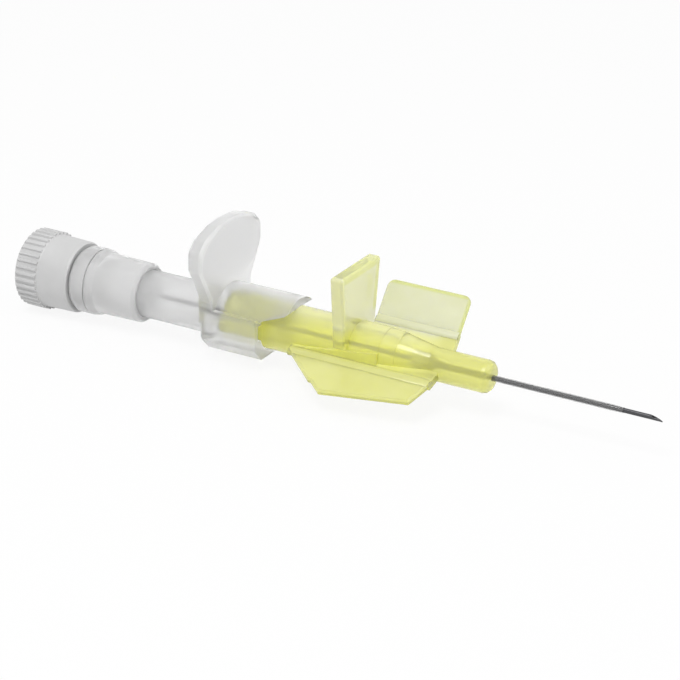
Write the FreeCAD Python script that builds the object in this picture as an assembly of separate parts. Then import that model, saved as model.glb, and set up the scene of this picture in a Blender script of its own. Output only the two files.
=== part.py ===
import FreeCAD, Part
import math
import os

os.makedirs("parts", exist_ok=True)
V = FreeCAD.Vector

# An over-the-needle intravenous cannula, small size, lying with its needle along +X.
# Millimetres. The origin is the end of the hub's nose, on the needle's axis, and +Z is up.
# Every round piece is turned about the X axis, so profiles are written as (x, radius).

# Needle and catheter
NEEDLE_R = 0.26
LUMEN_R = 0.15
NEEDLE_TIP = 19.7
BEVEL_LENGTH = 1.6
LANCET_LENGTH = 0.7
LANCET_TURN = 35.0
SLIDE_FIT = 0.015
CATHETER_BORE_R = NEEDLE_R + SLIDE_FIT
CATHETER_R = 0.355
CATHETER_TIP = 15.3
CATHETER_TAPER = 1.6
CATHETER_TIP_WALL = 0.02
SEAT_FIT = 0.02
CATHETER_FIT = 0.005
BUSH_FIT = 0.03
BUSH_NOSE = 0.45

# How far one form of a moulding sinks into the next
SINK = 0.5

# Catheter hub
HUB_REAR = -32.5
HUB_R = 2.85
SHOULDER_START = -12.7
SHOULDER_END = -7.0
STEP_X = -10.8
STEP_R = 2.62
STEP_HEIGHT = 0.07
NOSE_R = 1.87
NOSE_ROUND = 0.8
CHAMBER_R = 1.82
CHAMBER_END = -12.6
SEAT_R = 0.9
SEAT_START = -9.6
SEAT_END = -7.5
FLARE_END = -6.3
LUG_REACH = 3.35
LUG_HALF_HEIGHT = 0.8
LUG_LENGTH = 1.1
PAD_FACE = 3.22
PAD_REAR = -23.3
PAD_FRONT = -12.6
PAD_LOW = -1.7
PAD_LOW_FRONT = -0.95
PAD_TOP_REAR = -0.5
PAD_TOP_FRONT = 1.0

# Six per cent taper shared by the plug and socket pairs
TAPER_PER_MM = 0.03
SOCKET_MOUTH_R = 2.15
TAPER_FIT = 0.02
SOCKET_LENGTH = 8.5
SOCKET_EASE = 0.1

# Hub finger plate
HUB_PLATE_FRONT = -16.4
HUB_PLATE_THICK = 1.5
HUB_PLATE_FOOT = 0.6
HUB_PLATE_TOP = 9.2
HUB_PLATE_FOOT_HALF = 3.45
HUB_PLATE_TOP_HALF = 4.45
HUB_PLATE_CORNER = 0.35
RIM_EASE = 0.2

# Wings: reach is measured from the needle's axis, along the wing
NEAR_ANGLE = 15.0
FAR_ANGLE = 52.0
HINGE_FIT = 0.02
NEAR_THICK = 0.8
NEAR_BEAD_R = 0.45
NEAR_HINGE = 3.75
FAR_THICK = 0.5
FAR_BEAD_R = 0.32
FAR_HINGE = 3.45
NEAR_ROOT_REAR = -23.3
NEAR_ROOT_FRONT = -5.7
NEAR_NOTCH_X = -18.7
NEAR_NOTCH_REACH = 7.7
NEAR_NOTCH_LENGTH = 0.4
NEAR_CORNER_X = -16.6
NEAR_CORNER_REACH = 9.2
NEAR_FRONT_X = -6.5
NEAR_FRONT_REACH = 7.3
NEAR_CORNER = 0.25
WEB_SLOPE = 0.9
FAR_REAR_GAP = 0.9
FAR_REAR = HUB_PLATE_FRONT + FAR_REAR_GAP
FAR_FRONT = -5.25
FAR_REACH = 8.15
FAR_CORNER = 0.9

# Needle grip: block, hood, finger plate, flash tube and taper nose
BULKHEAD = 2.3
BLOCK_REAR = HUB_REAR - BULKHEAD
BLOCK_LENGTH = 7.4
BLOCK_FRONT = BLOCK_REAR + BLOCK_LENGTH
BLOCK_HALF = 4.13
BLOCK_TOP = 1.7
BLOCK_EASE = 0.4
BLOCK_BOTTOM = -3.4
BLOCK_CHAMFER_TOP = -1.95
BLOCK_BOTTOM_HALF = 2.7
NEST_R = 3.0
NEST_GAP = 0.3
NEST_REAR = HUB_REAR - NEST_GAP
LUG_SLOT_CLEAR = 0.15
HOOD_R = 3.88
HOOD_LENGTH = 8.5
HOOD_FRONT = HUB_REAR + HOOD_LENGTH
HOOD_SIDE_FLAT = 0.4
HOOD_SIDE_END = HOOD_FRONT - HOOD_SIDE_FLAT
HOOD_SIDE_RUN = 2.5
HOOD_SIDE_START = HOOD_SIDE_END - HOOD_SIDE_RUN
HOOD_SIDE_RISE = 0.85
GRIP_PLATE_SETBACK = 0.5
GRIP_PLATE_FRONT = HUB_REAR - GRIP_PLATE_SETBACK
GRIP_PLATE_THICK = 1.8
GRIP_PLATE_FOOT = 0.0
GRIP_PLATE_ROOT = 2.66
GRIP_PLATE_ROOT_HALF = 4.13
GRIP_PLATE_HALF = 6.5
GRIP_PLATE_FLARE = 7.0
GRIP_PLATE_WAIST_HALF = 5.3
GRIP_PLATE_WAIST = 4.9
GRIP_PLATE_CORNER = 9.3
GRIP_PLATE_SHOULDER_HALF = 5.2
GRIP_PLATE_SHOULDER = 10.5
GRIP_PLATE_CREST_HALF = 2.4
GRIP_PLATE_CREST = 11.35
GRIP_PLATE_TOP = 11.5
GRIP_PLATE_BEND = 0.9
GRIP_PLATE_EASE = 0.3
TUBE_R = 2.8
TUBE_BORE_R = 2.1
TUBE_LENGTH = 15.1
TUBE_REAR = HUB_REAR - TUBE_LENGTH
TUBE_BORE_DEPTH = 12.4
TUBE_BORE_END = TUBE_REAR + TUBE_BORE_DEPTH
NEEDLE_TAIL = 9.8
NEEDLE_REAR = HUB_REAR - NEEDLE_TAIL
NOSE_PLUG_LENGTH = 7.5
NOSE_PLUG_END = HUB_REAR + NOSE_PLUG_LENGTH
WELL_R = 0.8
WELL_DEPTH = 1.3
WELL_RECESS = 0.1
NOSE_PLUG_EASE = 0.3

# Vent housing, placed from the rear end of the flash tube that it plugs onto
VENT_OVERLAP = 3.5
VENT_FRONT = TUBE_REAR + VENT_OVERLAP
VENT_R = 3.58
VENT_FLANGE_R = 3.93
VENT_BARREL = 5.6
VENT_STEP = VENT_FRONT - VENT_BARREL
VENT_FLANGE_LENGTH = 1.15
VENT_FLANGE_REAR = VENT_STEP - VENT_FLANGE_LENGTH
VENT_SLOT = 0.15
VENT_COLLAR_LENGTH = 2.05
VENT_COLLAR_REAR = VENT_FLANGE_REAR - VENT_COLLAR_LENGTH
VENT_NECK_R = 2.9
VENT_NECK_LENGTH = 5.4
VENT_NECK_REAR = VENT_COLLAR_REAR - VENT_NECK_LENGTH
VENT_GROOVE = 0.25
VENT_GROOVE_LENGTH = 0.45
VENT_SOCKET_LENGTH = 6.2
FILTER_R = 2.5
FILTER_GAP = 0.6
FILTER_FRONT = TUBE_REAR - FILTER_GAP
FILTER_THICK = 1.8
FILTER_REAR = FILTER_FRONT - FILTER_THICK
FILTER_LIP_R = 1.7
FILTER_EASE = 0.15

# Lock cap, closed on the vent housing
CAP_OVERHANG = 1.7
CAP_REAR = VENT_NECK_REAR - CAP_OVERHANG
CAP_GAP = 0.15
CAP_FRONT = VENT_COLLAR_REAR - CAP_GAP
CAP_RIM_R = 4.22
CAP_WAIST_R = 4.32
CAP_INNER_R = 3.55
CAP_WALL = 1.0
CAP_REAR_EASE = 0.3
CAP_FRONT_EASE = 0.15
KNURL_LENGTH = 2.9
KNURL_FRONT = CAP_REAR + KNURL_LENGTH
KNURL_R = 4.62
KNURL_ROOT_R = 4.38
RIBS = 36
RIB_FOOT = 0.32
RIB_CREST = 0.14
PLUG_LENGTH = 6.0
PLUG_CORE_R = 1.1
PLUG_END_WALL = 1.2
PLUG_END_EASE = 0.2


def turned(points):
    """Solid turned about the X axis from (x, radius) points."""
    corners = [V(x, r, 0) for x, r in points]
    outline = Part.makePolygon(corners + corners[:1])
    return Part.Face(outline).revolve(V(0, 0, 0), V(1, 0, 0), 360)


def rod(x0, x1, radius):
    """Round rod along the needle's axis."""
    return Part.makeCylinder(radius, x1 - x0, V(x0, 0, 0), V(1, 0, 0))


def slab(points, x0, x1):
    """Flat plate standing across the axis, from (y, z) points."""
    corners = [V(x0, y, z) for y, z in points]
    outline = Part.makePolygon(corners + corners[:1])
    return Part.Face(outline).extrude(V(x1 - x0, 0, 0))


def edges_where(shape, test):
    """Edges of a shape whose midpoint passes a test."""
    found = []
    for edge in shape.Edges:
        middle = edge.valueAt((edge.FirstParameter + edge.LastParameter) / 2)
        if test(middle):
            found.append(edge)
    return found


def socket_radius(depth):
    """Radius of a taper socket at a depth inside its mouth."""
    return SOCKET_MOUTH_R - TAPER_PER_MM * depth


# Needle
def needle():
    tube = rod(NEEDLE_REAR, NEEDLE_TIP, NEEDLE_R)
    tube = tube.cut(rod(NEEDLE_REAR - 1, NEEDLE_TIP + 1, LUMEN_R))
    tube = tube.cut(grind(0, BEVEL_LENGTH, 0))
    tube = tube.cut(grind(LANCET_TURN, LANCET_LENGTH, NEEDLE_R / 3))
    return tube.cut(grind(-LANCET_TURN, LANCET_LENGTH, NEEDLE_R / 3))


def grind(turn, length, lift):
    """Stock ground off the needle's top to leave a sloping face of the given length."""
    reach = 2 * NEEDLE_R
    heel = V(NEEDLE_TIP - length, 0, NEEDLE_R)
    toe = V(NEEDLE_TIP, 0, lift - NEEDLE_R)
    far_toe = toe + (toe - heel) * 0.5
    front = NEEDLE_TIP + length
    corners = [heel, far_toe, V(front, 0, far_toe.z), V(front, 0, reach), V(heel.x, 0, reach)]
    stock = Part.Face(Part.makePolygon(corners + corners[:1])).extrude(V(0, 2 * reach, 0))
    stock.translate(V(0, -reach, 0))
    stock.rotate(V(0, 0, 0), V(1, 0, 0), turn)
    return stock


# Catheter tube, flared at its rear where the bush wedges it into the hub
def catheter_tube():
    flare_r = SEAT_R - SEAT_FIT
    wall = CATHETER_R - CATHETER_BORE_R
    return turned([
        (SEAT_END, flare_r),
        (FLARE_END, CATHETER_R),
        (CATHETER_TIP - CATHETER_TAPER, CATHETER_R),
        (CATHETER_TIP, CATHETER_BORE_R + CATHETER_TIP_WALL),
        (CATHETER_TIP, CATHETER_BORE_R),
        (FLARE_END, CATHETER_BORE_R),
        (SEAT_END, flare_r - wall),
    ])


# Crimp bush: a steel funnel that holds the flare and guides the needle
def crimp_bush():
    wall = CATHETER_R - CATHETER_BORE_R
    flare_r = SEAT_R - SEAT_FIT - wall
    nose_x = FLARE_END - BUSH_NOSE
    nose_r = CATHETER_BORE_R + (flare_r - CATHETER_BORE_R) * BUSH_NOSE / (FLARE_END - SEAT_END)
    guide_r = CATHETER_BORE_R + BUSH_FIT
    return turned([
        (SEAT_START, SEAT_R), (SEAT_END, SEAT_R), (SEAT_END, flare_r), (nose_x, nose_r),
        (nose_x, guide_r), (SEAT_END, guide_r), (SEAT_START, SEAT_R - wall),
    ])


# Catheter hub with its finger plate and wing roots
def catheter_hub():
    profile = [
        (HUB_REAR, 0), (HUB_REAR, HUB_R), (SHOULDER_START, HUB_R),
        (SHOULDER_START, HUB_R - STEP_HEIGHT), (STEP_X, STEP_R), (STEP_X, STEP_R - STEP_HEIGHT),
        (SHOULDER_END, NOSE_R),
    ]
    for degrees in (90, 60, 30, 0):
        turn = math.radians(degrees)
        round_x = NOSE_ROUND * (math.cos(turn) - 1)
        profile.append((round_x, NOSE_R - NOSE_ROUND * (1 - math.sin(turn))))
    outside = turned(profile + [(0, 0)])
    for part in (hub_lugs(), side_pads(), hub_plate(), near_root(), far_root()):
        outside = outside.fuse(part)
    return outside.removeSplitter().cut(hub_bore())


def hub_bore():
    deep = HUB_REAR + SOCKET_LENGTH
    nose_bore_r = CATHETER_R + CATHETER_FIT
    return turned([
        (HUB_REAR - 1, 0), (HUB_REAR - 1, SOCKET_MOUTH_R), (HUB_REAR, SOCKET_MOUTH_R),
        (deep, socket_radius(SOCKET_LENGTH)), (deep + SOCKET_EASE, CHAMBER_R),
        (CHAMBER_END, CHAMBER_R), (SEAT_START, SEAT_R), (SEAT_END, SEAT_R),
        (FLARE_END, nose_bore_r), (1, nose_bore_r), (1, 0),
    ])


def hub_lugs():
    return lugs(HUB_REAR, LUG_REACH)


def lugs(rear, reach):
    """Pair of lock lugs at the mouth of a taper socket."""
    corner = V(rear, -reach, -LUG_HALF_HEIGHT)
    bar = Part.makeBox(LUG_LENGTH, 2 * reach, 2 * LUG_HALF_HEIGHT, corner)
    return bar.common(rod(rear, rear + LUG_LENGTH, reach))


def side_pads():
    """Flat pads on both sides of the hub, rising towards the front."""
    corners = [
        V(PAD_REAR, 0, PAD_LOW), V(PAD_REAR, 0, PAD_TOP_REAR), V(PAD_FRONT, 0, PAD_TOP_FRONT),
        V(PAD_FRONT, 0, PAD_LOW_FRONT),
    ]
    face = Part.Face(Part.makePolygon(corners + corners[:1]))
    pads = face.extrude(V(0, 2 * PAD_FACE, 0))
    pads.translate(V(0, -PAD_FACE, 0))
    groove_r = NEAR_BEAD_R + HINGE_FIT
    groove = Part.makeCylinder(groove_r, 2 * abs(PAD_REAR), V(2 * PAD_REAR, NEAR_HINGE, 0), V(1, 0, 0))
    return pads.cut(laid(groove, -NEAR_ANGLE, -1))


def hub_plate():
    rear = HUB_PLATE_FRONT - HUB_PLATE_THICK
    plate = slab([
        (-HUB_PLATE_FOOT_HALF, HUB_PLATE_FOOT), (HUB_PLATE_FOOT_HALF, HUB_PLATE_FOOT),
        (HUB_PLATE_TOP_HALF, HUB_PLATE_TOP), (-HUB_PLATE_TOP_HALF, HUB_PLATE_TOP),
    ], rear, HUB_PLATE_FRONT)
    middle = rear + HUB_PLATE_THICK / 2
    thick = HUB_PLATE_THICK
    corners = edges_where(plate, lambda m: m.z > 0.99 * HUB_PLATE_TOP and abs(m.x - middle) < 0.01 * thick)
    plate = plate.makeFillet(HUB_PLATE_CORNER, corners)
    rim = edges_where(plate, lambda m: m.z > 1.01 * HUB_PLATE_FOOT and abs(m.x - middle) > 0.49 * thick)
    return plate.makeChamfer(RIM_EASE, rim)


def root_strip(x0, x1, thick, hinge, bead_r, angle, side):
    """Strip from the hub's side out to a wing's crease, grooved for the crease's round edge."""
    strip = Part.makeBox(x1 - x0, hinge - 0.5 * bead_r, thick, V(x0, 0, -thick / 2))
    strip = strip.cut(Part.makeCylinder(bead_r + HINGE_FIT, x1 - x0 + 2, V(x0 - 1, hinge, 0), V(1, 0, 0)))
    return laid(strip, angle, side)


def laid(shape, angle, side):
    """Turn a wing part made flat on +Y to its raised angle and to its side."""
    shape.rotate(V(0, 0, 0), V(1, 0, 0), angle)
    if side < 0:
        return shape.mirror(V(0, 0, 0), V(0, 1, 0))
    return shape


def near_root():
    thick = 2 * NEAR_BEAD_R
    return root_strip(NEAR_ROOT_REAR, NEAR_ROOT_FRONT, thick, NEAR_HINGE, NEAR_BEAD_R, -NEAR_ANGLE, -1)


def far_root():
    return root_strip(FAR_REAR, FAR_FRONT, 2 * FAR_BEAD_R, FAR_HINGE, FAR_BEAD_R, FAR_ANGLE, 1)


def wing(outline, thick, hinge, bead_r, corner, angle, side):
    """Flat wing from an (x, reach) outline, thinned towards the round edge that stands for its crease."""
    corners = [V(x, s, -thick / 2) for x, s in outline]
    plate = Part.Face(Part.makePolygon(corners + corners[:1])).extrude(V(0, 0, thick))
    outer = [e for e in plate.Edges if upright(e) and e.Vertexes[0].Y > 1.01 * hinge]
    plate = plate.makeFillet(corner, outer)
    rim = edges_where(plate, lambda m: m.y > hinge + 2 * WEB_SLOPE and abs(m.z) > 0.49 * thick)
    plate = plate.makeChamfer(0.3 * thick, rim)
    rear = min(x for x, s in outline)
    front = max(x for x, s in outline)
    reach = 1.1 * max(s for x, s in outline)
    thin = 0.55 * bead_r
    section = [
        V(rear, hinge, -thin), V(rear, hinge + WEB_SLOPE, -0.5 * thick), V(rear, reach, -thick),
        V(rear, reach, thick), V(rear, hinge + WEB_SLOPE, 0.5 * thick), V(rear, hinge, thin),
    ]
    taper = Part.Face(Part.makePolygon(section + section[:1])).extrude(V(front - rear, 0, 0))
    bead_front = max(x for x, s in outline if s < 1.01 * hinge)
    bead = Part.makeCylinder(bead_r, bead_front - rear, V(rear, hinge, 0), V(1, 0, 0))
    return laid(plate.common(taper).fuse(bead).removeSplitter(), angle, side)


def upright(edge):
    """True for an edge that stands across a flat wing's thickness."""
    first, last = edge.Vertexes[0], edge.Vertexes[-1]
    return abs(first.X - last.X) + abs(first.Y - last.Y) < 0.001


def wing_near():
    outline = [
        (NEAR_ROOT_REAR, NEAR_HINGE), (NEAR_NOTCH_X, NEAR_NOTCH_REACH),
        (NEAR_NOTCH_X + NEAR_NOTCH_LENGTH, 1.01 * NEAR_NOTCH_REACH), (NEAR_CORNER_X, NEAR_CORNER_REACH),
        (NEAR_FRONT_X, NEAR_FRONT_REACH), (NEAR_ROOT_FRONT, NEAR_HINGE),
    ]
    return wing(outline, NEAR_THICK, NEAR_HINGE, NEAR_BEAD_R, NEAR_CORNER, -NEAR_ANGLE, -1)


def wing_far():
    outline = [(FAR_REAR, FAR_HINGE), (FAR_REAR, FAR_REACH), (FAR_FRONT, FAR_REACH), (FAR_FRONT, FAR_HINGE)]
    return wing(outline, FAR_THICK, FAR_HINGE, FAR_BEAD_R, FAR_CORNER, FAR_ANGLE, 1)


# Needle grip
def needle_grip():
    body = grip_block().fuse(grip_hood()).cut(hub_nest())
    for part in (grip_plate(), flash_tube(), nose_plug()):
        body = body.fuse(part)
    bores = rod(TUBE_REAR - 1, TUBE_BORE_END, TUBE_BORE_R)
    bores = bores.fuse(rod(TUBE_BORE_END - 1, NOSE_PLUG_END + 1, NEEDLE_R))
    bores = bores.fuse(rod(NOSE_PLUG_END - WELL_DEPTH, NOSE_PLUG_END + 1, WELL_R))
    return body.removeSplitter().cut(bores)


def grip_block():
    block = slab([
        (-BLOCK_HALF, BLOCK_TOP), (-BLOCK_HALF, BLOCK_CHAMFER_TOP), (-BLOCK_BOTTOM_HALF, BLOCK_BOTTOM),
        (BLOCK_BOTTOM_HALF, BLOCK_BOTTOM), (BLOCK_HALF, BLOCK_CHAMFER_TOP), (BLOCK_HALF, BLOCK_TOP),
    ], BLOCK_REAR, BLOCK_FRONT)
    rear_edges = edges_where(block, lambda m: abs(m.x - BLOCK_REAR) < 0.01 and m.z < 0.99 * BLOCK_TOP)
    return block.makeChamfer(BLOCK_EASE, rear_edges)


def grip_hood():
    shell = rod(GRIP_PLATE_FRONT - SINK, HOOD_FRONT, HOOD_R)
    wide = 2 * HOOD_R
    low = BLOCK_TOP - 0.1 * HOOD_R
    corners = [
        V(BLOCK_REAR, -wide, low), V(BLOCK_FRONT, -wide, low), V(HOOD_SIDE_START, -wide, BLOCK_TOP),
        V(HOOD_SIDE_END, -wide, BLOCK_TOP + HOOD_SIDE_RISE),
        V(HOOD_FRONT, -wide, BLOCK_TOP + 1.4 * HOOD_SIDE_RISE),
        V(HOOD_FRONT, -wide, wide), V(BLOCK_REAR, -wide, wide),
    ]
    side = Part.Face(Part.makePolygon(corners + corners[:1]))
    return shell.common(side.extrude(V(0, 2 * wide, 0)))


def hub_nest():
    """Space the hub's rear end slides into, with slots for its lock lugs."""
    nest = rod(NEST_REAR, HOOD_FRONT + 1, NEST_R)
    reach = LUG_REACH + LUG_SLOT_CLEAR
    half = LUG_HALF_HEIGHT + LUG_SLOT_CLEAR
    length = BLOCK_FRONT - NEST_REAR + 1
    return nest.fuse(Part.makeBox(length, 2 * reach, 2 * half, V(NEST_REAR, -reach, -half)))


def grip_plate():
    rear = GRIP_PLATE_FRONT - GRIP_PLATE_THICK
    half = [
        (GRIP_PLATE_ROOT_HALF, GRIP_PLATE_FOOT), (GRIP_PLATE_ROOT_HALF, GRIP_PLATE_ROOT),
        (GRIP_PLATE_WAIST_HALF, GRIP_PLATE_WAIST), (GRIP_PLATE_HALF, GRIP_PLATE_FLARE),
        (GRIP_PLATE_HALF, GRIP_PLATE_CORNER), (GRIP_PLATE_SHOULDER_HALF, GRIP_PLATE_SHOULDER),
        (GRIP_PLATE_CREST_HALF, GRIP_PLATE_CREST),
    ]
    other = [(-y, z) for y, z in reversed(half)]
    plate = slab(half + [(0, GRIP_PLATE_TOP)] + other, rear, GRIP_PLATE_FRONT)
    middle = GRIP_PLATE_FRONT - GRIP_PLATE_THICK / 2
    thick = GRIP_PLATE_THICK
    low, high = 1.01 * GRIP_PLATE_ROOT, 0.995 * GRIP_PLATE_TOP
    bends = edges_where(plate, lambda m: abs(m.x - middle) < 0.01 * thick and low < m.z < high)
    plate = plate.makeFillet(GRIP_PLATE_BEND, bends)
    rim = edges_where(plate, lambda m: m.z > low and abs(m.x - middle) > 0.49 * thick)
    return plate.makeChamfer(GRIP_PLATE_EASE, rim)


def flash_tube():
    return rod(TUBE_REAR, GRIP_PLATE_FRONT - SINK, TUBE_R)


def nose_plug():
    """Male taper that the hub's socket sits on, growing from the bulkhead."""
    base = NEST_REAR - SINK
    mouth_r = SOCKET_MOUTH_R - TAPER_FIT
    eased_x = NOSE_PLUG_END - NOSE_PLUG_EASE
    eased_r = socket_radius(eased_x - HUB_REAR) - TAPER_FIT
    return turned([
        (base, 0), (base, mouth_r), (HUB_REAR, mouth_r), (eased_x, eased_r),
        (NOSE_PLUG_END, eased_r - NOSE_PLUG_EASE), (NOSE_PLUG_END, 0),
    ])


# Adhesive that fixes the needle in the grip
def needle_bond():
    filled = rod(NOSE_PLUG_END - WELL_DEPTH, NOSE_PLUG_END - WELL_RECESS, WELL_R)
    return filled.cut(rod(NEEDLE_REAR, NEEDLE_TIP, NEEDLE_R))


# Vent housing
def vent_housing():
    groove_r = VENT_FLANGE_R - VENT_GROOVE
    lip_x = VENT_COLLAR_REAR + VENT_GROOVE_LENGTH
    slot_x = VENT_FLANGE_REAR + VENT_SLOT
    outside = turned([
        (VENT_NECK_REAR, 0), (VENT_NECK_REAR, VENT_NECK_R), (VENT_COLLAR_REAR, VENT_NECK_R),
        (VENT_COLLAR_REAR, groove_r), (lip_x, groove_r), (lip_x, VENT_FLANGE_R),
        (VENT_FLANGE_REAR, VENT_FLANGE_R), (VENT_FLANGE_REAR, groove_r), (slot_x, groove_r),
        (slot_x, VENT_FLANGE_R), (VENT_STEP - VENT_GROOVE_LENGTH, VENT_FLANGE_R - RIM_EASE / 2),
        (VENT_STEP, VENT_R), (VENT_FRONT - 2 * RIM_EASE, VENT_R - RIM_EASE / 2),
        (VENT_FRONT, VENT_R - 2 * RIM_EASE), (VENT_FRONT, 0),
    ])
    outside = outside.fuse(lugs(VENT_NECK_REAR, CAP_INNER_R - LUG_SLOT_CLEAR))
    return outside.removeSplitter().cut(vent_bore())


def vent_bore():
    deep = VENT_NECK_REAR + VENT_SOCKET_LENGTH
    socket_r = TUBE_R + TAPER_FIT
    return turned([
        (VENT_NECK_REAR - 1, 0), (VENT_NECK_REAR - 1, SOCKET_MOUTH_R), (VENT_NECK_REAR, SOCKET_MOUTH_R),
        (deep, socket_radius(VENT_SOCKET_LENGTH)), (deep, FILTER_LIP_R), (FILTER_REAR, FILTER_LIP_R),
        (FILTER_REAR, FILTER_R), (FILTER_FRONT, FILTER_R), (FILTER_FRONT + SOCKET_EASE, socket_r),
        (VENT_FRONT + 1, socket_r), (VENT_FRONT + 1, 0),
    ])


# Porous plug that lets air out and keeps blood in
def vent_filter():
    return turned([
        (FILTER_REAR, 0), (FILTER_REAR, FILTER_R), (FILTER_FRONT - FILTER_EASE, FILTER_R),
        (FILTER_FRONT, FILTER_R - FILTER_EASE), (FILTER_FRONT, 0),
    ])


# Lock cap
def lock_cap():
    face = CAP_REAR + CAP_REAR_EASE
    shell = turned([
        (face, 0), (face, KNURL_ROOT_R), (KNURL_FRONT, KNURL_ROOT_R),
        (KNURL_FRONT + CAP_FRONT_EASE, CAP_WAIST_R), (CAP_FRONT - 2 * CAP_FRONT_EASE, CAP_RIM_R),
        (CAP_FRONT, CAP_RIM_R - CAP_FRONT_EASE), (CAP_FRONT, CAP_INNER_R),
        (CAP_REAR + CAP_WALL, CAP_INNER_R), (CAP_REAR + CAP_WALL, 0),
    ])
    cap = shell.fuse(knurl_band()).fuse(cap_plug())
    return cap.cut(rod(CAP_REAR - 1, CAP_REAR + PLUG_LENGTH, PLUG_CORE_R))


def knurl_band():
    """Ribbed grip ring, as one outline of crests and roots drawn round the axis."""
    step = 2 * math.pi / RIBS
    root = 0.995 * KNURL_ROOT_R
    rib_outline = [(-RIB_FOOT, root), (-RIB_CREST, KNURL_R), (RIB_CREST, KNURL_R), (RIB_FOOT, root)]
    corners = []
    for rib in range(RIBS):
        for turn, radius in rib_outline:
            angle = (rib + turn) * step
            corners.append((radius * math.sin(angle), radius * math.cos(angle)))
    band = slab(corners, CAP_REAR, KNURL_FRONT)
    over = 1.02 * KNURL_R
    ease = KNURL_R - KNURL_ROOT_R
    eased = turned([
        (CAP_REAR, 0), (CAP_REAR, KNURL_R - ease), (CAP_REAR + ease, over), (KNURL_FRONT, over),
        (KNURL_FRONT, CAP_INNER_R), (CAP_REAR + CAP_WALL, CAP_INNER_R), (CAP_REAR + CAP_WALL, 0),
    ])
    return band.common(eased)


def cap_plug():
    """Male taper of the cap, cored from behind so that its walls stay even."""
    base = CAP_REAR + SINK
    base_r = SOCKET_MOUTH_R - TAPER_FIT
    end = CAP_REAR + PLUG_LENGTH + PLUG_END_WALL
    end_r = socket_radius(end - VENT_NECK_REAR) - TAPER_FIT
    return turned([
        (base, 0), (base, base_r), (VENT_NECK_REAR, base_r), (end - PLUG_END_EASE, end_r),
        (end, end_r - PLUG_END_EASE), (end, 0),
    ])


pieces = {
    "needle": needle(),
    "catheter_tube": catheter_tube(),
    "crimp_bush": crimp_bush(),
    "catheter_hub": catheter_hub(),
    "wing_near": wing_near(),
    "wing_far": wing_far(),
    "needle_grip": needle_grip(),
    "needle_bond": needle_bond(),
    "vent_housing": vent_housing(),
    "vent_filter": vent_filter(),
    "lock_cap": lock_cap(),
}

for name, shape in pieces.items():
    shape.exportStep("parts/" + name + ".step")
    print(name, shape.isValid(), len(shape.Solids), round(shape.Volume, 2))
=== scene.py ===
import math
import bmesh
import bpy
from mathutils import Matrix, Vector


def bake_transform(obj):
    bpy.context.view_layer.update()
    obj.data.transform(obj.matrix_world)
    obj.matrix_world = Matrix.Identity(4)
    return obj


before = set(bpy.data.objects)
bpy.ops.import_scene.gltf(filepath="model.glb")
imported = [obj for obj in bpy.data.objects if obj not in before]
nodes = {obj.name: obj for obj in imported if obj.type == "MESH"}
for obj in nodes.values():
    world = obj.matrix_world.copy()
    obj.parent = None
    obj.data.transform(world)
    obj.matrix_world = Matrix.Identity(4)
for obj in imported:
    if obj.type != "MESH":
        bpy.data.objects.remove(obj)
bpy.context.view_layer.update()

# Needle
# A drawn stainless tube, ground to a three-face bevel and polished. It runs
# through the whole device, and the adhesive in the grip's nose fixes it.


def new_material(name):
    """A named node material with its Principled shader."""
    material = bpy.data.materials.new(name)
    material.use_nodes = True
    return material, material.node_tree, material.node_tree.nodes["Principled BSDF"]


def mottle(tree, scale, detail, stretch=(1.0, 1.0, 1.0)):
    """Noise fixed to the object, in features per metre."""
    place = tree.nodes.new("ShaderNodeTexCoord")
    spread = tree.nodes.new("ShaderNodeMapping")
    spread.inputs["Scale"].default_value = stretch
    noise = tree.nodes.new("ShaderNodeTexNoise")
    noise.inputs["Scale"].default_value = scale
    noise.inputs["Detail"].default_value = detail
    tree.links.new(place.outputs["Object"], spread.inputs["Vector"])
    tree.links.new(spread.outputs["Vector"], noise.inputs["Vector"])
    return noise.outputs["Fac"]


def between(tree, amount, low, high):
    """A number that runs from low to high with the mottle."""
    spread = tree.nodes.new("ShaderNodeMapRange")
    spread.inputs["From Min"].default_value = 0.3
    spread.inputs["From Max"].default_value = 0.7
    spread.inputs["To Min"].default_value = low
    spread.inputs["To Max"].default_value = high
    tree.links.new(amount, spread.inputs["Value"])
    return spread.outputs["Result"]


def relief(tree, amount, depth, shader):
    """Surface relief of a depth in metres."""
    bump = tree.nodes.new("ShaderNodeBump")
    bump.inputs["Strength"].default_value = 1.0
    bump.inputs["Distance"].default_value = depth
    tree.links.new(amount, bump.inputs["Height"])
    tree.links.new(bump.outputs["Normal"], shader.inputs["Normal"])


def tint(tree, amount, dark, light):
    """A colour that drifts between two close shades."""
    shades = tree.nodes.new("ShaderNodeValToRGB")
    shades.color_ramp.elements[0].position = 0.3
    shades.color_ramp.elements[0].color = (*dark, 1)
    shades.color_ramp.elements[1].position = 0.7
    shades.color_ramp.elements[1].color = (*light, 1)
    tree.links.new(amount, shades.inputs["Fac"])
    return shades.outputs["Color"]


def finish_node(name, material):
    """Give a CAD node its finish in every slot."""
    mesh = nodes[name].data
    mesh.materials.clear()
    mesh.materials.append(material)


steel, tree, shader = new_material("drawn_needle_steel")
drawn_lengthwise = (0.04, 1.0, 1.0)
draw_lines = mottle(tree, 9000, 3, drawn_lengthwise)
# Painted shade: both steel shades are set very dark, standing in for the dark surroundings that
# polished steel reflects; the draw lines vary between them.
shaded_steel_low, shaded_steel_high = (0.075, 0.075, 0.08), (0.11, 0.11, 0.115)
tree.links.new(tint(tree, draw_lines, shaded_steel_low, shaded_steel_high), shader.inputs["Base Color"])
tree.links.new(between(tree, draw_lines, 0.36, 0.44), shader.inputs["Roughness"])
shader.inputs["Metallic"].default_value = 1.0
relief(tree, draw_lines, 0.0000004, shader)
finish_node("needle", steel)

# Catheter tube
# A thin fluoropolymer tube over the needle, drawn down to a fine taper at its
# tip. Its flared rear end is wedged into the hub by the crimp bush.

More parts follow.
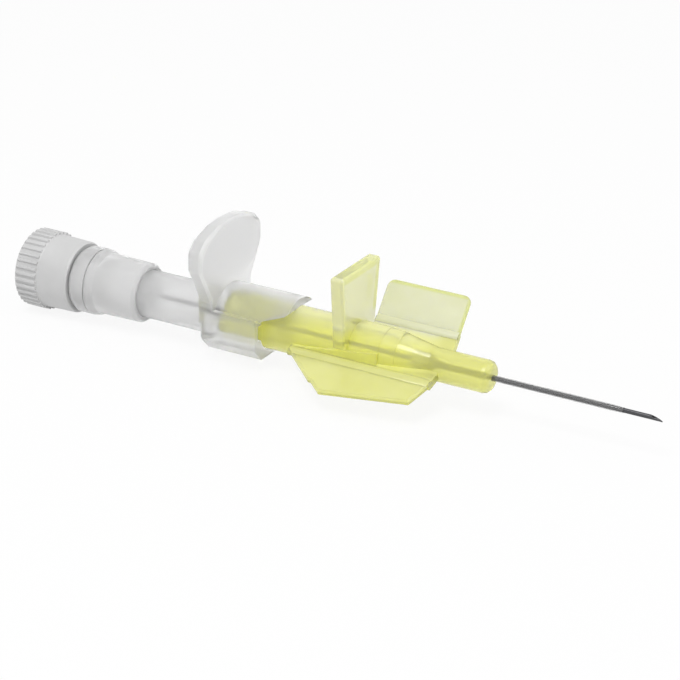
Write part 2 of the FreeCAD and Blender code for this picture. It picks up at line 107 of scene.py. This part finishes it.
sleeve, tree, shader = new_material("catheter_fluoropolymer")
extruded_lengthwise = (0.2, 1.0, 1.0)
sleeve_drift = mottle(tree, 1500, 2, extruded_lengthwise)
thick_wall, thin_wall = (0.70, 0.70, 0.70), (0.78, 0.78, 0.78)
tree.links.new(tint(tree, sleeve_drift, thick_wall, thin_wall), shader.inputs["Base Color"])
tree.links.new(between(tree, sleeve_drift, 0.08, 0.16), shader.inputs["Roughness"])
shader.inputs["Transmission Weight"].default_value = 0.95
shader.inputs["IOR"].default_value = 1.34
shader.inputs["Coat Weight"].default_value = 0.6
shader.inputs["Coat Roughness"].default_value = 0.3
relief(tree, sleeve_drift, 0.0000015, shader)
finish_node("catheter_tube", sleeve)

# Crimp bush
# A small pressed stainless funnel inside the hub, which wedges the catheter's
# flare in place and guides the needle through it.

bush, tree, shader = new_material("pressed_bush_steel")
bush_marks = mottle(tree, 6000, 3)
rubbed, bright = (0.72, 0.72, 0.72), (0.80, 0.80, 0.80)
tree.links.new(tint(tree, bush_marks, rubbed, bright), shader.inputs["Base Color"])
tree.links.new(between(tree, bush_marks, 0.25, 0.4), shader.inputs["Roughness"])
shader.inputs["Metallic"].default_value = 1.0
finish_node("crimp_bush", bush)

# Catheter hub
# Yellow tinted polypropylene, moulded in one with its finger plate and wing
# roots. Light comes through it, and thick parts look deeper in colour.


def soak(tree, colour, density):
    """Colour that light takes on along its way through the plastic."""
    absorber = tree.nodes.new("ShaderNodeVolumeAbsorption")
    absorber.inputs["Color"].default_value = (*colour, 1)
    absorber.inputs["Density"].default_value = density
    tree.links.new(absorber.outputs["Volume"], tree.nodes["Material Output"].inputs["Volume"])


def place_on(tree, along):
    """Distance along a direction, in metres, from the object's origin."""
    place = tree.nodes.new("ShaderNodeTexCoord")
    reach = tree.nodes.new("ShaderNodeVectorMath")
    reach.operation = "DOT_PRODUCT"
    reach.inputs[1].default_value = along
    tree.links.new(place.outputs["Object"], reach.inputs[0])
    return reach.outputs["Value"]


def fade(tree, value, start, end):
    """Zero before the start, one after the end, and smooth between."""
    ramp = tree.nodes.new("ShaderNodeMapRange")
    ramp.interpolation_type = "SMOOTHSTEP"
    ramp.inputs["From Min"].default_value = start
    ramp.inputs["From Max"].default_value = end
    tree.links.new(value, ramp.inputs["Value"])
    return ramp.outputs["Result"]


def combine(tree, operation, first, second):
    """One number made from two."""
    step = tree.nodes.new("ShaderNodeMath")
    step.operation = operation
    for socket, value in zip(step.inputs, (first, second)):
        if isinstance(value, (int, float)):
            socket.default_value = value
        else:
            tree.links.new(value, socket)
    return step.outputs[0]


def shade_over(tree, amount, under, over):
    """Colour that changes from one shade to another with an amount."""
    mix = tree.nodes.new("ShaderNodeMix")
    mix.data_type = "RGBA"
    tree.links.new(amount, mix.inputs["Factor"])
    tree.links.new(under, mix.inputs["A"])
    if isinstance(over, tuple):
        mix.inputs["B"].default_value = (*over, 1)
    else:
        tree.links.new(over, mix.inputs["B"])
    return mix.outputs["Result"]


def yellow_plastic(
    name, dark, light, clearness, depth=0.6, rough=(0.12, 0.18), coat=(0.65, 0.2)
):
    """Tinted satin plastic that lets light through, deeper in colour where it is thicker."""
    material, tree, shader = new_material(name)
    cloud = mottle(tree, 260, 3)
    grain = mottle(tree, 3000, 2)
    colour = tint(tree, cloud, dark, light)
    tree.links.new(colour, shader.inputs["Base Color"])
    tree.links.new(between(tree, cloud, *rough), shader.inputs["Roughness"])
    shader.inputs["Transmission Weight"].default_value = clearness
    shader.inputs["IOR"].default_value = 1.16
    shader.inputs["Coat Weight"].default_value = coat[0]
    shader.inputs["Coat Roughness"].default_value = coat[1]
    shader.inputs["Subsurface Weight"].default_value = depth
    shader.inputs["Subsurface Radius"].default_value = (1.0, 1.0, 0.5)
    shader.inputs["Subsurface Scale"].default_value = 0.001
    relief(tree, grain, 0.0000005, shader)
    soak(tree, (1.0, 1.0, 0.1), 130)
    return material, tree, shader, colour


hub_clearness = 0.64
hub_yellow, tree, shader, colour = yellow_plastic(
    "yellow_hub_plastic", (0.97, 0.97, 0.37), (1.0, 1.0, 0.45), hub_clearness, rough=(0.05, 0.09)
)
height = place_on(tree, (0, 0, 1))
nearward, farward = place_on(tree, (0, -1, 0)), place_on(tree, (0, 1, 0))
forward, rearward = place_on(tree, (1, 0, 0)), place_on(tree, (-1, 0, 0))

# The hub is paler towards its top, from the tube's upper side over the finger plate, and on the
# far wing's root; the plate and the root are thin.
far_turn = math.radians(52)
far_way = (0, math.cos(far_turn), math.sin(far_turn))
plate_part = fade(tree, height, 0.0014, 0.0036)
root_part = fade(tree, place_on(tree, far_way), 0.0027, 0.0031)
pale_top_and_root = combine(tree, "MAXIMUM", plate_part, root_part)
colour = shade_over(tree, pale_top_and_root, colour, (0.96, 0.96, 0.84))

# The solid nose is deeper, and so is the mouth inside the grip's block.
nose_part = fade(tree, forward, -0.0085, -0.0065)
colour = shade_over(tree, nose_part, colour, (0.86, 0.86, 0.37))
nested_part = fade(tree, rearward, 0.0255, 0.0275)
colour = shade_over(tree, nested_part, colour, (1.0, 1.0, 0.31))

# The flared plate's rim: a painted edge glow, deep along its top and far side, and a painted
# highlight, pale and milkier on its near side.
rise_per_flare = 8.6
flare = combine(tree, "MULTIPLY", height, 1.0 / rise_per_flare)
near_rim = fade(tree, combine(tree, "SUBTRACT", nearward, flare), 0.0026, 0.0031)
far_rim = fade(tree, combine(tree, "SUBTRACT", farward, flare), 0.0022, 0.0027)
top_rim = fade(tree, height, 0.0082, 0.0086)
above_tube = fade(tree, height, 0.0028, 0.0036)
plate_edge_glow = combine(tree, "MULTIPLY", combine(tree, "MAXIMUM", far_rim, top_rim), above_tube)
plate_near_highlight = combine(tree, "MULTIPLY", near_rim, above_tube)
colour = shade_over(tree, plate_edge_glow, colour, (0.90, 0.92, 0.50))
colour = shade_over(tree, plate_near_highlight, colour, (0.98, 0.98, 0.60))
tree.links.new(colour, shader.inputs["Base Color"])
near_highlight_haze = combine(tree, "MULTIPLY", plate_near_highlight, 0.3)
clearness = combine(tree, "SUBTRACT", hub_clearness, near_highlight_haze)
tree.links.new(clearness, shader.inputs["Transmission Weight"])
finish_node("catheter_hub", hub_yellow)

# Wings
# Flat flexible grips of the same yellow plastic, joined to the hub by a thin
# web. The near one is lowered and looks deeper; the far one is thin and pale.

near_yellow = yellow_plastic(
    "near_wing_plastic", (0.83, 0.83, 0.34), (0.87, 0.87, 0.40), 0.5
)[0]
finish_node("wing_near", near_yellow)

dull_coat = (0.25, 0.35)
far_yellow, tree, shader, colour = yellow_plastic(
    "far_wing_plastic", (0.81, 0.82, 0.62), (0.85, 0.86, 0.68), 0.6, coat=dull_coat
)
# Painted edge glow: the far wing's outer and front rims are coloured deeper.
outer_rim = fade(tree, place_on(tree, far_way), 0.0076, 0.0079)
front_rim = fade(tree, place_on(tree, (1, 0, 0)), -0.0057, -0.0054)
far_wing_edge_glow = combine(tree, "MAXIMUM", outer_rim, front_rim)
colour = shade_over(tree, far_wing_edge_glow, colour, (0.80, 0.84, 0.40))
tree.links.new(colour, shader.inputs["Base Color"])
finish_node("wing_far", far_yellow)

# Wing webs
# The living hinges: a thin skin of the same plastic that runs from each wing
# root over the crease, so that the wing stays in one with the hub.


skin_thickness = 0.00005
skin_edge = 0.00002


def wing_web(name, side, angle, rear, front, profile, narrowing, material):
    """A skin laid along a crease, from (reach, height) points in the wing's own plane."""
    (reach, height), (last_reach, last_height) = profile[:2]
    middle = (rear + front) / 2
    bpy.ops.object.select_all(action="DESELECT")
    bpy.ops.mesh.primitive_plane_add(
        size=1, location=(middle, side * (reach + last_reach) / 2, height)
    )
    web = bpy.context.object
    web.name = name
    web.scale = (front - rear, last_reach - reach, 1)
    bpy.ops.object.transform_apply(location=True, rotation=False, scale=True)
    bpy.ops.object.mode_set(mode="EDIT")
    bpy.ops.mesh.select_mode(type="EDGE")
    bpy.ops.mesh.select_all(action="DESELECT")
    outline = bmesh.from_edit_mesh(web.data)
    for edge in outline.edges:
        edge.select_set(all(side * corner.co.y > 0.9999 * last_reach for corner in edge.verts))
    bmesh.update_edit_mesh(web.data)
    narrow_middle, narrow_share = narrowing
    narrow_from, narrow_to = profile[-3][0], profile[-1][0]
    last_width = 1.0
    for reach, height in profile[2:]:
        bpy.ops.mesh.extrude_region_move(
            TRANSFORM_OT_translate={
                "value": (0, side * (reach - last_reach), height - last_height)
            }
        )
        done = max(0.0, reach - narrow_from) / (narrow_to - narrow_from)
        width = 1 - narrow_share * done
        bpy.ops.transform.resize(
            value=(width / last_width, 1, 1), center_override=(narrow_middle, 0, 0)
        )
        last_reach, last_height, last_width = reach, height, width
    bpy.ops.mesh.select_all(action="SELECT")
    bpy.ops.mesh.normals_make_consistent(inside=False)
    bpy.ops.mesh.subdivide(number_cuts=1, smoothness=0)
    bpy.ops.object.mode_set(mode="OBJECT")
    web.data.transform(Matrix.Rotation(side * angle, 4, "X"))
    wall = web.modifiers.new("wall", "SOLIDIFY")
    wall.thickness = skin_thickness
    wall.offset = 0
    bpy.ops.object.modifier_apply(modifier=wall.name)
    soft = web.modifiers.new("soft", "BEVEL")
    soft.width = skin_edge
    soft.segments = 2
    bpy.ops.object.modifier_apply(modifier=soft.name)
    bpy.ops.object.shade_smooth_by_angle(angle=math.radians(40))
    web.data.materials.append(material)
    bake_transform(web)


near_skin = yellow_plastic(
    "near_web_plastic", (0.79, 0.79, 0.29), (0.83, 0.83, 0.33), 0.2, depth=0.0
)[0]
near_profile = [
    (0.0032, 0.00042), (0.0033, 0.00042), (0.00345, 0.000474),
    (0.00375, 0.00048), (0.004, 0.000405), (0.0043, 0.000311),
]
wing_web(
    "near_wing_web", -1, math.radians(-15), -0.0232, -0.0058, near_profile, (-0.00857, 0.0435),
    near_skin,
)
far_skin = yellow_plastic(
    "far_web_plastic", (0.82, 0.83, 0.58), (0.86, 0.87, 0.62), 0.2, depth=0.0, coat=dull_coat
)[0]
far_profile = [
    (0.0030, 0.00029), (0.00308, 0.00029), (0.00322, 0.000342),
    (0.00345, 0.00035), (0.00365, 0.00029), (0.00395, 0.000187),
]
wing_web(
    "far_wing_web", 1, far_turn, -0.01542, -0.00533, far_profile, (-0.0104, 0.0),
    far_skin,
)

# Needle grip
# Clear plastic with a frosted mould surface: flash tube, block, hood, taper
# nose and finger plate in one moulding.


def frosted_plastic(name, dark, light, clearness, rough):
    """Clear plastic with a frosted skin."""
    material, tree, shader = new_material(name)
    cloud = mottle(tree, 300, 3)
    grain = mottle(tree, 3500, 2)
    colour = tint(tree, cloud, dark, light)
    tree.links.new(colour, shader.inputs["Base Color"])
    haze = between(tree, cloud, rough - 0.04, rough + 0.06)
    tree.links.new(haze, shader.inputs["Roughness"])
    shader.inputs["Transmission Weight"].default_value = clearness
    shader.inputs["IOR"].default_value = 1.16
    shader.inputs["Coat Weight"].default_value = 0.8
    shader.inputs["Coat Roughness"].default_value = 0.22
    shader.inputs["Subsurface Weight"].default_value = 0.6
    shader.inputs["Subsurface Radius"].default_value = (1.0, 1.0, 1.0)
    shader.inputs["Subsurface Scale"].default_value = 0.001
    relief(tree, grain, 0.0000005, shader)
    return material, tree, shader, colour


milk_dark, milk_light = (0.92, 0.92, 0.92), (0.95, 0.95, 0.95)
grip_clearness = 0.87
grip_frost, tree, shader, colour = frosted_plastic(
    "frosted_grip_plastic", milk_dark, milk_light, grip_clearness, 0.42
)
height = place_on(tree, (0, 0, 1))
plate_part = fade(tree, height, 0.0034, 0.0054)
# Painted shade: the finger plate is coloured greyer than the rest of the grip.
colour = shade_over(tree, plate_part, colour, (0.83, 0.83, 0.835))

# The finger plate's rim carries a painted highlight, bright along an oval.
oval_half_width, oval_half_height, oval_middle = 0.0065, 0.0039, 0.0076
across = combine(tree, "MULTIPLY", place_on(tree, (0, 1, 0)), 1 / oval_half_width)
above_middle = combine(tree, "SUBTRACT", height, oval_middle)
upward = combine(tree, "MULTIPLY", above_middle, 1 / oval_half_height)
across_squared = combine(tree, "POWER", across, 2)
oval = combine(tree, "ADD", across_squared, combine(tree, "POWER", upward, 2))
painted_rim_highlight = combine(tree, "MULTIPLY", fade(tree, oval, 0.84, 0.96), plate_part)
colour = shade_over(tree, painted_rim_highlight, colour, (0.97, 0.97, 0.97))
tree.links.new(colour, shader.inputs["Base Color"])

# The flash tube is milkier than the block; the plate's rim is milkier too, as part of its
# painted highlight.
tube_part = fade(tree, place_on(tree, (-1, 0, 0)), 0.0338, 0.0352)
milky_tube = combine(tree, "MULTIPLY", tube_part, 0.15)
rim_highlight_haze = combine(tree, "MULTIPLY", painted_rim_highlight, 0.23)
tube_milk_and_rim_highlight = combine(tree, "MAXIMUM", milky_tube, rim_highlight_haze)
clearness = combine(tree, "SUBTRACT", grip_clearness, tube_milk_and_rim_highlight)
tree.links.new(clearness, shader.inputs["Transmission Weight"])
finish_node("needle_grip", grip_frost)

# Adhesive
# Clear epoxy, dropped as a liquid into the well of the grip's taper nose. It
# cures round the needle and fixes it there.

epoxy = frosted_plastic(
    "cured_adhesive", (0.80, 0.79, 0.72), (0.86, 0.85, 0.78), 0.5, 0.15
)[0]
finish_node("needle_bond", epoxy)

# Vent housing
# A frosted plastic plug housing on the flash tube's rear end, with a stepped
# collar, a flange and the socket that the cap locks on.

vent_frost = frosted_plastic("frosted_vent_plastic", milk_dark, milk_light, 0.5, 0.5)[0]
finish_node("vent_housing", vent_frost)

# Vent filter
# A sintered porous plug, pressed into its seat in the housing. Air passes it
# and blood doesn't.

porous, tree, shader = new_material("sintered_filter")
pores = mottle(tree, 9000, 4)
pore_shade, bead_shade = (0.72, 0.72, 0.70), (0.88, 0.88, 0.86)
tree.links.new(tint(tree, pores, pore_shade, bead_shade), shader.inputs["Base Color"])
tree.links.new(between(tree, pores, 0.8, 0.95), shader.inputs["Roughness"])
relief(tree, pores, 0.00006, shader)
finish_node("vent_filter", porous)

# Lock cap
# An opaque white moulded cap with a knurled rear band. Its taper plug closes
# the vent housing's socket, and its skirt hides the lock.

white, tree, shader = new_material("white_cap_plastic")
cloud = mottle(tree, 300, 3)
grain = mottle(tree, 3500, 3)
cap_dark, cap_light = (0.59, 0.59, 0.59), (0.63, 0.63, 0.63)
tree.links.new(tint(tree, cloud, cap_dark, cap_light), shader.inputs["Base Color"])
tree.links.new(between(tree, grain, 0.38, 0.5), shader.inputs["Roughness"])
shader.inputs["Subsurface Weight"].default_value = 0.15
shader.inputs["Subsurface Radius"].default_value = (0.001, 0.001, 0.001)
shader.inputs["Subsurface Scale"].default_value = 0.5
relief(tree, grain, 0.000002, shader)
finish_node("lock_cap", white)

# Floor and background
# A plain white sweep. Cameras and reflections see it near white, and it keeps
# a faint part of the object's shadow.

floor_height = -0.00468
bpy.ops.object.select_all(action="DESELECT")
bpy.ops.mesh.primitive_plane_add(size=6, location=(0, 0, floor_height))
floor = bpy.context.object
floor.name = "floor"


def seen_white(tree):
    """One for camera, glossy and transmission rays, and zero for the light on the object."""
    path = tree.nodes.new("ShaderNodeLightPath")
    rays = (path.outputs[f"Is {kind} Ray"] for kind in ("Camera", "Glossy", "Transmission"))
    camera, glossy, transmission = rays
    direct = combine(tree, "MAXIMUM", camera, glossy)
    return combine(tree, "MAXIMUM", direct, transmission)


paper = bpy.data.materials.new("white_floor")
paper.use_nodes = True
tree = paper.node_tree
tree.nodes.clear()
out = tree.nodes.new("ShaderNodeOutputMaterial")
matt = tree.nodes.new("ShaderNodeBsdfDiffuse")
matt.inputs["Color"].default_value = (0.9, 0.9, 0.9, 1)
glow = tree.nodes.new("ShaderNodeEmission")
glow.inputs["Strength"].default_value = 1.0
white_share = 0.9
blend = tree.nodes.new("ShaderNodeMixShader")
tree.links.new(combine(tree, "MULTIPLY", seen_white(tree), white_share), blend.inputs[0])
tree.links.new(matt.outputs[0], blend.inputs[1])
tree.links.new(glow.outputs[0], blend.inputs[2])
tree.links.new(blend.outputs[0], out.inputs["Surface"])
floor.data.materials.append(paper)

world = bpy.data.worlds.new("studio")
world.use_nodes = True
bpy.context.scene.world = world
tree = world.node_tree
back = tree.nodes["Background"]
back.inputs["Color"].default_value = (1, 1, 1, 1)
level = tree.nodes.new("ShaderNodeMapRange")
level.inputs["To Min"].default_value = 0.55
level.inputs["To Max"].default_value = 1.0
tree.links.new(seen_white(tree), level.inputs["Value"])
tree.links.new(level.outputs["Result"], back.inputs["Strength"])

# Studio light
# One large soft box above and behind the left shoulder, and a weaker one on
# the right.


def soft_box(name, place, aim, width, power):
    """A square area lamp that faces a point."""
    bpy.ops.object.select_all(action="DESELECT")
    bpy.ops.object.light_add(type="AREA", location=place)
    lamp = bpy.context.object
    lamp.name = name
    lamp.data.size = width
    lamp.data.energy = power
    lamp.visible_transmission = False
    lamp.rotation_mode = "QUATERNION"
    lamp.rotation_quaternion = (Vector(aim) - Vector(place)).to_track_quat("-Z", "Y")


object_middle = (-0.02, 0, 0)
soft_box("key_box", (-0.03, -0.17, 0.39), object_middle, 0.16, 0.87)
soft_box("fill_box", (0.3, 0.1, 0.25), object_middle, 0.2, 0.2)

# Camera
# Placed and turned to the photo's view: 29 degrees round from the side and
# 24 degrees above, with a long lens. The picture is 680 pixels wide.

look_round, look_down, roll = math.radians(28.9), math.radians(23.8), math.radians(1.29)
back_way = Vector((
    math.sin(look_round) * math.cos(look_down),
    -math.cos(look_round) * math.cos(look_down),
    math.sin(look_down),
))
level_right = Vector((math.cos(look_round), math.sin(look_round), 0))
level_up = back_way.cross(level_right)
right = math.cos(roll) * level_right + math.sin(roll) * level_up
up = -math.sin(roll) * level_right + math.cos(roll) * level_up
picture_width = 680
focal_pixels = 2500
pixels_per_metre = 9300
distance = focal_pixels / pixels_per_metre
aside, above = 153 / pixels_per_metre, -38 / pixels_per_metre
bpy.ops.object.select_all(action="DESELECT")
bpy.ops.object.camera_add()
camera = bpy.context.object
camera.data.sensor_width = 36
camera.data.lens = 36 * focal_pixels / picture_width
camera.data.clip_start = 0.01
camera.data.clip_end = 20
turn = Matrix((right, up, back_way)).transposed().to_4x4()
camera.matrix_world = Matrix.Translation(distance * back_way - aside * right - above * up) @ turn
bpy.context.scene.camera = camera
bpy.context.scene.view_settings.view_transform = "Standard"
